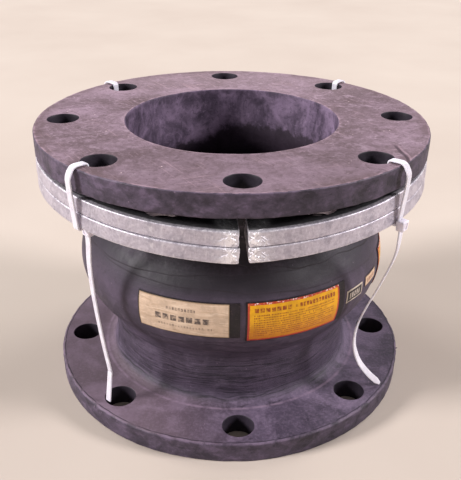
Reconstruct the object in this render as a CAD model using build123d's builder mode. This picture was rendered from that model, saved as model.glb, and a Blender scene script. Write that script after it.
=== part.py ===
from build123d import *
from math import asin, cos, degrees, radians, sin, sqrt, tan
import os

# Rubber expansion joint, NPS 6, spool type with one flowing arch, as it is shipped: its split
# steel retaining rings are strapped under the upper flange with four nylon cable ties.
# Millimetres. Origin at the centre of the lower flange face, +Z up through the bore.

# --- driving dimensions ---------------------------------------------------------------------
face_to_face = 200.0
bore_d = 152.4
flange_od = 279.4
flange_t = 15.9
neck_od = 187.0
arch_od = 232.0
arch_base = 110.0            # height of the arch where it leaves the neck
cavity_d = 202.0             # inside diameter at the crown of the arch
cavity_base = 132.0          # height of the arch's hollow where it leaves the bore
neck_fillet = 9.0

bolt_circle_d = 241.3
bolt_hole_d = 22.2
bolt_count = 8

tube_t = 3.0                 # rubber inner tube
cover_t = 2.5                # rubber outer cover
seam_z = 28.0                # height from each face where the end's rigid rubber stops

body_ring_bar_d = 6.35
neck_ring_z = 21.0           # height above the lower face; its twin is as far below the upper one
arch_ring_z = 55.0           # the same, at the foot of the arch

retaining_ring_id = 203.2
retaining_ring_t = 9.8
retaining_ring_split = 4.0   # width of the saw cut between the halves
retaining_ring_sag = 3.15    # degrees that each half hangs out of level
ring_clearance = 0.3
ring_stack_gap = 0.2
ring_bevel = 0.6

tie_w = 4.8
tie_t = 1.2
tie_head_w = 7.6
tie_head_r = 6.0
tie_head_h = 7.2

backing_t = 0.4
label_t = 0.3

# --- derived dimensions ---------------------------------------------------------------------
mid_z = face_to_face / 2
bore_r = bore_d / 2
flange_r = flange_od / 2
neck_r = neck_od / 2
ply_t = (neck_r - bore_r - tube_t - cover_t) / 2   # thickness of each of the two ply packs
underside_z = face_to_face - flange_t
lower_seam_z = seam_z
upper_seam_z = face_to_face - seam_z

# Each surface of the wall, from the bore outwards: neck radius, crown radius, arch base height.
crown_r = arch_od / 2
bore_wall = (bore_r, cavity_d / 2, cavity_base)
tube_back = (bore_r + tube_t, cavity_d / 2 + tube_t, cavity_base - 5)
ply_split = (bore_r + tube_t + ply_t, (cavity_d + arch_od) / 4, arch_base + 10)
cover_back = (neck_r - cover_t, crown_r - cover_t, arch_base + 2)
outer_wall = (neck_r, crown_r, arch_base)

crown_share = 0.6            # the crown arc's part of the arch's two radii added up
os.makedirs("parts", exist_ok=True)


def arch_arcs(wall):
    """Root radius, crown radius and sweep angle of an arch's two tangent arcs."""
    neck, crown, base = wall
    rise = crown - neck
    radii = ((base / 2) ** 2 + rise**2) / (2 * rise)
    return radii * (1 - crown_share), radii * crown_share, degrees(asin(base / 2 / radii))


def root_radius_at(wall, height):
    """Radius of a wall surface at a height on the arch's lower root arc."""
    neck, crown, base = wall
    root_r = arch_arcs(wall)[0]
    rise = height - (mid_z - base / 2)
    return neck + root_r - sqrt(root_r**2 - rise**2)


# Each body ring lies on the surface where the two packs of plies meet.
body_rings = {
    "lower_neck_ring": (ply_split[0], neck_ring_z),
    "upper_neck_ring": (ply_split[0], face_to_face - neck_ring_z),
    "lower_arch_ring": (root_radius_at(ply_split, arch_ring_z), arch_ring_z),
    "upper_arch_ring": (root_radius_at(ply_split, arch_ring_z), face_to_face - arch_ring_z),
}


def save(piece, name):
    piece.part.label = name
    export_step(piece.part, f"parts/{name}.step")
    print(name, round(piece.part.volume / 1000, 2), "cm3")


# --- the flowing arch -----------------------------------------------------------------------


def wall_curve(wall):
    """One surface of the arch in the radius and height plane, from seam to seam."""
    neck, crown, base = wall
    root_r, top_r, sweep = arch_arcs(wall)
    low = mid_z - base / 2
    high = mid_z + base / 2
    Line((neck, lower_seam_z), (neck, low))
    CenterArc((neck + root_r, low), root_r, 180, -sweep)
    CenterArc((crown - top_r, mid_z), top_r, -sweep, 2 * sweep)
    CenterArc((neck + root_r, high), root_r, 180 + sweep, -sweep)
    Line((neck, high), (neck, upper_seam_z))


def arch_layer(name, inner, outer, rings=()):
    """One layer of the arch; the steel body rings lie in half-round grooves between plies."""
    with BuildPart() as layer:
        with BuildSketch(Plane.XZ):
            with BuildLine():
                wall_curve(inner)
                wall_curve(outer)
                Line((inner[0], lower_seam_z), (outer[0], lower_seam_z))
                Line((inner[0], upper_seam_z), (outer[0], upper_seam_z))
            make_face()
            for ring in rings:
                with Locations(body_rings[ring]):
                    Circle(body_ring_bar_d / 2, mode=Mode.SUBTRACT)
        revolve(axis=Axis.Z)
    save(layer, name)


arch_layer("arch_tube", bore_wall, tube_back)
arch_rings = ("lower_arch_ring", "upper_arch_ring")
arch_layer("arch_inner_plies", tube_back, ply_split, arch_rings)
arch_layer("arch_outer_plies", ply_split, cover_back, arch_rings)
arch_layer("arch_cover", cover_back, outer_wall)


# --- the two flanged ends -------------------------------------------------------------------


with BuildSketch() as bolt_holes:
    with PolarLocations(bolt_circle_d / 2, bolt_count):
        Circle(bolt_hole_d / 2)


def end_layer(name, inner, outer, faces, rim_r, bends, ring=None):
    """An L-shaped layer of one end: a flange disc that turns up into the neck.

    inner and outer are the neck's radii, faces the disc's two heights, and bends the radii of
    the layer's inside and outside corners, which fit the layers beside it.
    """
    face_z, back_z = faces
    with BuildPart() as layer:
        with BuildSketch(Plane.XZ) as section:
            with BuildLine():
                Polyline(
                    (inner, face_z),
                    (rim_r, face_z),
                    (rim_r, back_z),
                    (outer, back_z),
                    (outer, lower_seam_z),
                    (inner, lower_seam_z),
                    close=True,
                )
            make_face()
            for corner, bend in zip(((inner, face_z), (outer, back_z)), bends):
                fillet(section.vertices().sort_by_distance(corner)[0], bend)
            if ring:
                with Locations(body_rings[ring]):
                    Circle(body_ring_bar_d / 2, mode=Mode.SUBTRACT)
        revolve(axis=Axis.Z)
        extrude(bolt_holes.sketch, amount=flange_t, mode=Mode.SUBTRACT)
        if name.startswith("upper"):
            mirror(about=Plane.XY.offset(mid_z), mode=Mode.REPLACE)
    save(layer, name)


def end_cover(name):
    """The outer rubber skin of one end: neck, flange back and flange edge."""
    skin_r = flange_r - cover_t
    skin_z = flange_t - cover_t
    inner = neck_r - cover_t
    with BuildPart() as layer:
        with BuildSketch(Plane.XZ) as section:
            with BuildLine():
                Polyline(
                    (skin_r, tube_t),
                    (flange_r, tube_t),
                    (flange_r, flange_t),
                    (neck_r, flange_t),
                    (neck_r, lower_seam_z),
                    (inner, lower_seam_z),
                    (inner, skin_z),
                    (skin_r, skin_z),
                    close=True,
                )
            make_face()
            outside = section.vertices().sort_by_distance((neck_r, flange_t))[0]
            fillet(outside, neck_fillet)
            inside = section.vertices().sort_by_distance((inner, skin_z))[0]
            fillet(inside, neck_fillet + cover_t)
        revolve(axis=Axis.Z)
        extrude(bolt_holes.sketch, amount=flange_t, mode=Mode.SUBTRACT)
        if name.startswith("upper"):
            mirror(about=Plane.XY.offset(mid_z), mode=Mode.REPLACE)
    save(layer, name)


ply_faces = (tube_t, (tube_t + flange_t - cover_t) / 2, flange_t - cover_t)
ply_rim_r = flange_r - cover_t
mouth_bend, tube_bend, ply_bend = 1.0, 1.5, 4.0
for end in ("lower", "upper"):
    end_layer(f"{end}_tube", bore_r, tube_back[0], (0, tube_t), flange_r, (mouth_bend, tube_bend))
    end_layer(f"{end}_inner_plies", tube_back[0], ply_split[0], ply_faces[:2], ply_rim_r,
              (tube_bend, ply_bend), "lower_neck_ring")
    end_layer(f"{end}_outer_plies", ply_split[0], cover_back[0], ply_faces[1:], ply_rim_r,
              (ply_bend, neck_fillet + cover_t), "lower_neck_ring")
    end_cover(f"{end}_cover")


# --- steel body rings, cured into the wall --------------------------------------------------


def body_ring(name, section_centre):
    with BuildPart() as ring:
        with BuildSketch(Plane.XZ):
            with Locations(section_centre):
                Circle(body_ring_bar_d / 2)
        revolve(axis=Axis.Z)
    save(ring, name)


for name, section_centre in body_rings.items():
    body_ring(name, section_centre)


# --- split retaining rings ------------------------------------------------------------------


def retaining_half(name, side, depth, shift=(0, 0)):
    """Half a retaining ring. side is -1 for left; depth is its top, below the stack's top.

    The stack touches the flange at its outermost point and hangs down towards the split.
    """
    tilt = radians(retaining_ring_sag)
    level = Plane(
        origin=(side * flange_r, 0, underside_z - ring_clearance),
        x_dir=(cos(tilt), 0, side * sin(tilt)),
        z_dir=(-side * sin(tilt), 0, cos(tilt)),
    )
    centre = (-side * flange_r + shift[0], shift[1])
    first_hole = 180 / bolt_count - 90 if side > 0 else 180 / bolt_count + 90
    with BuildPart() as half:
        with BuildSketch(level.offset(-depth)):
            with Locations(centre):
                Circle(flange_r)
                Circle(retaining_ring_id / 2, mode=Mode.SUBTRACT)
                with PolarLocations(bolt_circle_d / 2, bolt_count // 2, first_hole, 180):
                    Circle(bolt_hole_d / 2, mode=Mode.SUBTRACT)
            split_x = centre[0] + side * retaining_ring_split / 2
            with Locations((split_x - side * flange_r, 0)):
                Rectangle(2 * flange_r, 3 * flange_r, mode=Mode.SUBTRACT)
        extrude(amount=-retaining_ring_t)
        outline = half.edges().filter_by(GeomType.CIRCLE)
        rim = outline.filter_by(lambda edge: edge.radius > flange_r - 1)
        chamfer(rim, ring_bevel)
    save(half, name)


lower_depth = retaining_ring_t + ring_stack_gap
retaining_half("left_upper_ring_half", -1, 0)
retaining_half("left_lower_ring_half", -1, lower_depth, shift=(0.8, -1.2))
retaining_half("right_upper_ring_half", 1, 0)
retaining_half("right_lower_ring_half", 1, lower_depth, shift=(-0.4, -0.3))


# --- cable ties -----------------------------------------------------------------------------


def radial_plane(azimuth):
    """Upright plane through the axis: local x is the radius, local y is the height."""
    turn = radians(azimuth)
    return Plane(origin=(0, 0, 0), x_dir=(cos(turn), sin(turn), 0), z_dir=(sin(turn), -cos(turn), 0))


# The strap's middle line as radius and height, with the radius of each bend: out of the bolt
# hole, over the rim, down past the rings, under them, up inside them and back to the hole.
tie_loop = [
    ((130.3, 201.0), 1.6),
    ((140.4, 201.5), 4.0),
    ((144.3, 195.5), 6.0),
    ((144.0, 186.0), 40.0),
    ((141.9, 160.5), 1.6),
    ((97.6, 158.8), 1.6),
    ((97.6, 183.3), 5.0),
    ((130.3, 183.3), 1.8),
]
outer_head = (144.3, 161.0)      # beside the rings' lower corner
under_head = (133.5, 157.0)      # hidden under the rings


def cable_tie(name, azimuth, head):
    """A tie's closed loop with its head; its tail is a piece of its own."""
    points = [point for point, bend in tie_loop]
    bends = [bend for point, bend in tie_loop]
    with BuildPart() as tie:
        with BuildSketch(radial_plane(azimuth)):
            with BuildLine():
                FilletPolyline(*points, radius=bends, close=True)
            make_face()
            offset(amount=tie_t / 2)
        extrude(amount=tie_w / 2, both=True)
        with BuildSketch(radial_plane(azimuth)):
            with BuildLine():
                FilletPolyline(*points, radius=bends, close=True)
            make_face()
            offset(amount=-tie_t / 2)
        extrude(amount=tie_w, both=True, mode=Mode.SUBTRACT)
        with BuildSketch(radial_plane(azimuth)):
            with Locations(head):
                RectangleRounded(tie_head_r, tie_head_h, 1.0)
        extrude(amount=tie_head_w / 2, both=True)
    save(tie, name)


cable_tie("front_left_tie", -135, under_head)
cable_tie("front_right_tie", -45, outer_head)
cable_tie("back_left_tie", 135, outer_head)
cable_tie("back_right_tie", 45, outer_head)

# Tails as radius, azimuth and height, from the head's underside to the cut-off tip.
under_exit = under_head[1] - tie_head_h / 2
outer_exit = outer_head[1] - tie_head_h / 2
tail_routes = {
    "front_left_tail": [
        (133.5, -135.6, under_exit), (133.5, -135.6, 147), (133.4, -136.3, 132), (132.6, -136.5, 112),
        (131.2, -136.4, 90), (129.2, -136.0, 66), (126.6, -135.8, 41.5), (131.0, -135.4, 17.4),
    ],
    "front_right_tail": [
        (143.0, -44.2, outer_exit), (143.0, -44.2, 150), (141.6, -43.4, 141), (139.4, -43.0, 132),
        (136.0, -43.0, 121), (131.5, -43.6, 107), (126.2, -44.8, 91), (121.8, -45.4, 74.5),
        (121.0, -45.2, 58.5), (124.0, -43.3, 43), (129.8, -40.3, 30), (136.0, -36.2, 17.4),
    ],
    "back_left_tail": [
        (143.0, 135.4, outer_exit), (143.0, 135.4, 150), (141.9, 136.7, 138), (139.4, 138.2, 123),
        (136.2, 139.6, 104), (134.4, 140.6, 83), (134.8, 141.1, 61), (136.6, 141.2, 39),
        (137.2, 140.6, 17.4),
    ],
    "back_right_tail": [
        (143.0, 44.6, outer_exit), (143.0, 44.6, 150), (142.6, 43.8, 136), (141.2, 42.4, 120),
        (138.4, 40.9, 102),
        (135.0, 39.7, 82), (132.8, 38.8, 61), (133.2, 38.2, 39), (135.6, 37.4, 17.4),
    ],
}
crease_r = {("front_left_tail", 6): 2.0}   # a sharp fold in the nylon


def bend_radius(before, at, after):
    """The largest bend that two runs leave room for."""
    turn = (at - before).get_angle(after - at)
    return 0.45 * min((at - before).length, (after - at).length) / tan(radians(turn) / 2)


def tie_tail(name, route):
    points = [Vector(r * cos(radians(a)), r * sin(radians(a)), z) for r, a, z in route]
    bends = []
    for i in range(1, len(points) - 1):
        widest = bend_radius(points[i - 1], points[i], points[i + 1])
        bends.append(crease_r.get((name, i), widest))
    across = Vector(0, 0, 1).cross(points[0])
    with BuildPart() as tail:
        with BuildLine() as path:
            FilletPolyline(*points, radius=bends)
        with BuildSketch(Plane(origin=points[0], x_dir=across, z_dir=points[1] - points[0])):
            Rectangle(tie_w, tie_t)
        sweep(path=path.wires()[0])
    length = path.wires()[0].length
    print(name, "length", round(length, 1), "volume share", tail.part.volume / (length * tie_w * tie_t))
    save(tail, name)


for name, route in tail_routes.items():
    tie_tail(name, route)


# --- labels on the crown of the arch --------------------------------------------------------


def label(name, from_az, to_az, low_z, high_z, inner_t, outer_t):
    """A thin curved patch; inner_t and outer_t are its faces' heights above the cover."""
    root_r, top_r, sweep_angle = arch_arcs(outer_wall)
    centre = (crown_r - top_r, mid_z)
    start = degrees(asin((low_z - mid_z) / top_r))
    span = degrees(asin((high_z - mid_z) / top_r)) - start
    with BuildPart() as patch:
        with BuildSketch(radial_plane(from_az)):
            with BuildLine():
                near = CenterArc(centre, top_r + inner_t, start, span)
                far = CenterArc(centre, top_r + outer_t, start, span)
                Line(near @ 0, far @ 0)
                Line(near @ 1, far @ 1)
            make_face()
        revolve(axis=Axis.Z, revolution_arc=to_az - from_az)
    save(patch, name)


over_backing = backing_t + label_t
label("maker_label_backing", -125.0, -89.8, 86.3, 113.3, 0, backing_t)
label("maker_label", -124.5, -93.3, 87.0, 112.6, backing_t, over_backing)
label("warning_label_backing", -88.0, -50.6, 82.8, 113.8, 0, backing_t)
label("warning_label", -87.4, -53.8, 83.6, 113.0, backing_t, over_backing)
label("material_label", -49.4, -39.9, 94.6, 104.2, 0, label_t)
label("size_label", -37.6, -28.0, 97.4, 105.6, 0, label_t)
label("side_warning_backing", -22.6, 14.8, 82.8, 113.8, 0, backing_t)
label("side_warning_label", -22.0, 11.6, 83.6, 113.0, backing_t, over_backing)
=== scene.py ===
import math
import bpy
import bmesh
import numpy as np
from mathutils import Matrix, Vector


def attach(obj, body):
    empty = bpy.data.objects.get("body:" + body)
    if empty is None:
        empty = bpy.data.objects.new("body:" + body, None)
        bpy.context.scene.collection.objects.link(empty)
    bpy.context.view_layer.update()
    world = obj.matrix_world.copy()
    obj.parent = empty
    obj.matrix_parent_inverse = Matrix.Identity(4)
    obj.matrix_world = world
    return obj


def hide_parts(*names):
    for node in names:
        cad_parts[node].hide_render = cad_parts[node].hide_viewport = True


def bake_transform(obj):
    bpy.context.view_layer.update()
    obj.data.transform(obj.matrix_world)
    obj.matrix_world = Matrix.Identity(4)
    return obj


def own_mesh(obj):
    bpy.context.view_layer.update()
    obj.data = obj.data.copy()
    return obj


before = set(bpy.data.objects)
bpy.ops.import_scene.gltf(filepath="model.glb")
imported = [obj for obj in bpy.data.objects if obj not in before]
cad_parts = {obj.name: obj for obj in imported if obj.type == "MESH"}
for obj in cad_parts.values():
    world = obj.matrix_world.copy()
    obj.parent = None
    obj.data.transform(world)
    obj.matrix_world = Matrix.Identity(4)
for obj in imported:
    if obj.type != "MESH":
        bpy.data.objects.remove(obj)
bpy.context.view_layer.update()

# ---------------------------------------------------------------- sizes, in mm, as the CAD part has them
MM = 0.001
HEIGHT = 200.0
BORE_R = 76.2
FLANGE_R = 139.7
FLANGE_T = 15.9
NECK_R = 93.5
NECK_FILLET = 9.0
SEAM_Z = 28.0
BOLT_R = 120.65
HOLE_R = 11.1
# each side of the wall: radius at the neck and the crown, and the height of the arch
WALLS = {"outer": (93.5, 116.0, 110.0), "bore": (76.2, 101.0, 132.0)}
# the wall's five bands: name, lower and upper height, and the names of the two bodies below and above it
BANDS = [
    ("wall_lower_neck", 28.0, 53.5, "lower_end", "lower_foot"),
    ("wall_lower_shoulder", 53.5, 79.0, "lower_foot", "lower_crown"),
    ("wall_crown", 79.0, 118.0, "lower_crown", "upper_crown"),
    ("wall_upper_shoulder", 118.0, 138.0, "upper_crown", "upper_foot"),
    ("wall_upper_neck", 138.0, 172.0, "upper_foot", "upper_end"),
]
# points round the object, and in the sector of one bolt hole
AROUND = 256
SECTOR = AROUND // 8
# laps of the cover on the arch: height at the front, drop per radian, depth
OVERLAPS = [(134.0, -7.0, 0.8), (128.0, 5.0, 0.5), (74.0, -5.0, 0.6), (63.0, -3.0, 0.75), (119.0, -3.5, 0.35),
            (147.0, -5.0, 0.5), (80.0, 9.0, 0.4)]


# ---------------------------------------------------------------- mesh helpers
def rad(degrees):
    return math.radians(degrees)


def unit(v):
    """Scales each row to length 1."""
    return v / np.linalg.norm(v, axis=1)[:, None]


def waves(p, size, seed, count=12):
    """Smooth, seeded unevenness of about unit size, from crossing waves about size mm long."""
    rng = np.random.default_rng(seed)
    way = unit(rng.normal(size=(count, 3)))
    way *= (2 * math.pi / size) * rng.uniform(0.6, 1.5, (count, 1))
    phase = rng.uniform(0, 2 * math.pi, count)
    return np.sin(p @ way.T + phase).sum(1) / math.sqrt(count / 2)


def smooth(x, lo, hi):
    t = np.clip((x - lo) / (hi - lo), 0, 1)
    return t * t * (3 - 2 * t)


def around(points):
    """Angle round the upright axis, and distance from it."""
    return np.arctan2(points[:, 1], points[:, 0]), np.hypot(points[:, 0], points[:, 1])


def push_out(points, az, distance):
    """Moves points away from the upright axis."""
    points[:, 0] += distance * np.cos(az)
    points[:, 1] += distance * np.sin(az)


def at_height(flat, z):
    """Lifts flat points to a height."""
    return np.concatenate([flat, np.full((len(flat), 1), z)], 1)


def ring_point(r, az, z):
    return np.stack([r * np.cos(az), r * np.sin(az), z], -1)


def add_object(name, data):
    """Puts a mesh, a light or a camera in the scene."""
    thing = bpy.data.objects.new(name, data)
    bpy.context.scene.collection.objects.link(thing)
    return thing


class Shell:
    """Collects grids of points and welds them into one closed mesh."""

    def __init__(self):
        self.points = []
        self.faces = []
        self.extra = []
        self.count = 0

    def grid(self, p, wrap=False, extra=None):
        rows, cols = p.shape[:2]
        index = self.count + np.arange(rows * cols).reshape(rows, cols)
        if wrap:
            index = np.concatenate([index, index[:, :1]], 1)
        quads = np.stack([index[:-1, :-1], index[:-1, 1:], index[1:, 1:], index[1:, :-1]], -1)
        self.faces.append(quads.reshape(-1, 4))
        self.points.append(p.reshape(-1, 3))
        self.extra.append(np.zeros((rows * cols, 3)) if extra is None else extra.reshape(-1, 3))
        self.count += rows * cols

    def polar(self, profile, azimuths, wrap=True):
        profile = np.array(profile, float)
        r = profile[:, 0][:, None] + 0 * azimuths[None]
        z = profile[:, 1][:, None] + 0 * azimuths[None]
        self.grid(ring_point(r, azimuths[None] + 0 * r, z), wrap)

    def build(self, name, materials, shape=None, pick=None, sharp=35.0, extra_name=None):
        points = np.concatenate(self.points)
        extra = np.concatenate(self.extra)
        faces = np.concatenate(self.faces)
        _, first, inverse = np.unique(np.round(points, 3), axis=0, return_index=True, return_inverse=True)
        inverse = inverse.reshape(-1)
        points, extra, faces = points[first], extra[first], inverse[faces]
        rest = points.copy()
        if shape is not None:
            points = shape(points)
        polygons = []
        for quad in faces.tolist():
            loop = [v for i, v in enumerate(quad) if v != quad[i - 1]]
            if len(set(loop)) >= 3:
                polygons.append(loop)
        mesh = bpy.data.meshes.new(name)
        mesh.from_pydata((points * MM).tolist(), [], polygons)
        for attribute, values in (("rest", rest), (extra_name, extra)):
            if attribute:
                layer = mesh.attributes.new(attribute, "FLOAT_VECTOR", "POINT")
                layer.data.foreach_set("vector", values.astype(np.float32).ravel())
        bm = bmesh.new()
        bm.from_mesh(mesh)
        bmesh.ops.recalc_face_normals(bm, faces=bm.faces)
        limit = rad(sharp)
        for edge in bm.edges:
            if len(edge.link_faces) == 2 and edge.calc_face_angle() > limit:
                edge.smooth = False
        for face in bm.faces:
            face.smooth = True
            if pick is not None:
                face.material_index = pick(face.calc_center_median() * 1000)
        bm.to_mesh(mesh)
        bm.free()
        for m in materials:
            mesh.materials.append(m)
        return add_object(name, mesh)


def arc(centre_r, centre_z, radius, start, end, steps=5):
    """Points of an arc in the (r, z) plane, angles in degrees from +r."""
    return [(centre_r + radius * math.cos(rad(a)), centre_z + radius * math.sin(rad(a)))
            for a in np.linspace(start, end, steps)]


def wall_radius(which, z):
    """Radius of one side of the arched wall at height z."""
    neck, crown, base = WALLS[which]
    rise = crown - neck
    span = ((base / 2) ** 2 + rise ** 2) / (2 * rise)
    root, top = 0.4 * span, 0.6 * span
    reach = top * (base / 2 / span)
    d = np.abs(np.asarray(z, float) - HEIGHT / 2)
    crest = crown - top + np.sqrt(np.maximum(top ** 2 - d ** 2, 0))
    foot = neck + root - np.sqrt(np.maximum(root ** 2 - np.clip(base / 2 - d, 0, None) ** 2, 0))
    return np.where(d < reach, crest, np.where(d < base / 2, foot, neck))


def hole_patches(shell, azimuth, r_in, r_out, z_low, z_high, edge, bend=None):
    """A 45 degree sector with a bolt hole through it: both faces and the hole's wall."""
    half = rad(22.5)
    side = 10
    across = np.linspace(-half, half, SECTOR + 1)
    up = np.linspace(r_in, r_out, side + 1)
    rs = np.concatenate([np.full(SECTOR, r_in), up[:-1], np.full(SECTOR, r_out), up[::-1][:-1]])
    az = np.concatenate([across[:-1], np.full(side, half), across[::-1][:-1], np.full(side, -half)])
    az += rad(azimuth)
    border = np.stack([rs * np.cos(az), rs * np.sin(az)], -1)
    if bend is not None:
        border = bend(border)
    centre = BOLT_R * np.array([math.cos(rad(azimuth)), math.sin(rad(azimuth))])
    way = unit(border - centre)
    share = np.linspace(0, 1, 9) ** 1.35

    def face(z):
        mouth = centre + way * (HOLE_R + edge)
        return [at_height(mouth * (1 - s) + border * s, z) for s in share]

    def rim(z, sign):
        loops = []
        for a in np.radians((30, 60, 90)):
            out, down = edge * (1 - math.sin(a)), sign * edge * (1 - math.cos(a))
            loops.append(at_height(centre + way * (HOLE_R + out), z - down))
        return loops

    top, low = face(z_high), face(z_low)
    upper, lower = rim(z_high, 1), rim(z_low, -1)
    wall = [upper[-1] * (1 - s) + lower[-1] * s for s in np.linspace(0, 1, 7)[1:-1]]
    for loops in (top, low, [top[0]] + upper + wall + lower[::-1] + [low[0]]):
        shell.grid(np.array(loops), wrap=True)


# ---------------------------------------------------------------- node helpers
def srgb(r, g, b):
    """Linear colour and alpha from screen values of 0 to 255."""
    parts = (c / 255 for c in (r, g, b))
    return tuple(c / 12.92 if c <= 0.04045 else ((c + 0.055) / 1.055) ** 2.4 for c in parts) + (1,)


def arithmetic(operation, swapped=False):
    """A method that puts one Math node between a value and another."""
    def apply(self, other):
        return self.paint.math(operation, *((other, self) if swapped else (self, other)))
    return apply


class Value:
    """A node's output. Sums and products of values make Math nodes."""

    def __init__(self, paint, socket):
        self.paint = paint
        self.socket = socket

    __add__, __radd__ = arithmetic("ADD"), arithmetic("ADD", True)
    __sub__, __rsub__ = arithmetic("SUBTRACT"), arithmetic("SUBTRACT", True)
    __mul__, __rmul__ = arithmetic("MULTIPLY"), arithmetic("MULTIPLY", True)
    __truediv__ = arithmetic("DIVIDE")

    def __abs__(self):
        return self.paint.math("ABSOLUTE", self)

    def span(self, lo, hi, to_lo=0.0, to_hi=1.0):
        """A smooth step from to_lo to to_hi as the value goes from lo to hi."""
        return self.paint.make("MapRange", {0: self, 1: lo, 2: hi, 3: to_lo, 4: to_hi},
                               interpolation_type="SMOOTHSTEP")


class Paint:
    """A Principled material, short names for the nodes that feed it, and its colour so far."""

    def __init__(self, name, **fixed):
        self.material = bpy.data.materials.new(name)
        self.material.use_nodes = True
        self.tree = self.material.node_tree
        self.tree.nodes.clear()
        out = self.tree.nodes.new("ShaderNodeOutputMaterial")
        self.shader = self.tree.nodes.new("ShaderNodeBsdfPrincipled")
        self.tree.links.new(self.shader.outputs[0], out.inputs[0])
        for key, value in fixed.items():
            self.shader.inputs[key.replace("_", " ")].default_value = value

    def put(self, socket, value):
        if isinstance(value, Value):
            self.tree.links.new(value.socket, socket)
        else:
            socket.default_value = value

    def make(self, kind, sockets, output=0, **settings):
        """Adds a node, fills its sockets and gives back one of its outputs."""
        node = self.tree.nodes.new("ShaderNode" + kind)
        for key, value in settings.items():
            setattr(node, key, value)
        for key, value in sockets.items():
            self.put(node.inputs[key], value)
        return Value(self, node.outputs[output])

    def attribute(self, name):
        return self.make("Attribute", {}, "Vector", attribute_name=name)

    def object_mm(self):
        at = self.make("TexCoord", {}, "Object")
        return self.make("VectorMath", {0: at, "Scale": 1000.0}, operation="SCALE")

    def split(self, vector):
        node = self.make("SeparateXYZ", {0: vector}).socket.node
        return [Value(self, output) for output in node.outputs]

    def join(self, x, y=0.0, z=0.0):
        return self.make("CombineXYZ", {0: x, 1: y, 2: z})

    def vector(self, operation, a, b=(0.0, 0.0, 0.0)):
        output = "Value" if operation == "DISTANCE" else 0
        return self.make("VectorMath", {0: a, 1: b}, output, operation=operation)

    def facing_up(self):
        """How far the surface faces up, from -1 to 1."""
        return self.split(self.make("NewGeometry", {}, "Normal"))[2]

    def math(self, operation, a, b=0.0, clamp=False):
        return self.make("Math", {0: a, 1: b}, operation=operation, use_clamp=clamp)

    def noise(self, vector, size, detail=4.0, rough=0.55, distort=0.0):
        return self.make("TexNoise", {"Vector": vector, "Scale": 1.0 / size, "Detail": detail,
                                      "Roughness": rough, "Distortion": distort}, "Fac")

    def cells(self, vector, size, output="Distance"):
        return self.make("TexVoronoi", {"Vector": vector, "Scale": 1.0 / size}, output)

    def lay(self, share, *over):
        """Lays a colour over the colour so far."""
        over = over[0] if len(over) == 1 else srgb(*over)
        self.colour = self.make("Mix", {0: share, 6: self.colour, 7: over}, 2, data_type="RGBA")

    def ramp(self, value, *stops):
        """Starts the colour as a ramp between the stops."""
        self.colour = self.make("ValToRGB", {0: value})
        elements = self.colour.socket.node.color_ramp.elements
        while len(elements) < len(stops):
            elements.new(0.5)
        for element, (at, colour) in zip(elements, stops):
            element.position = at
            element.color = colour

    def bump(self, height, depth_mm, strength=1.0):
        return self.make("Bump", {"Height": height, "Distance": depth_mm * MM, "Strength": strength})

    def finish(self, roughness, normal, metallic=None):
        sockets = self.shader.inputs
        self.put(sockets["Base Color"], self.colour)
        self.put(sockets["Normal"], normal)
        if roughness is not None:
            self.put(sockets["Roughness"], roughness)
        if metallic is not None:
            self.put(sockets["Metallic"], metallic)
        return self.material


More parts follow.
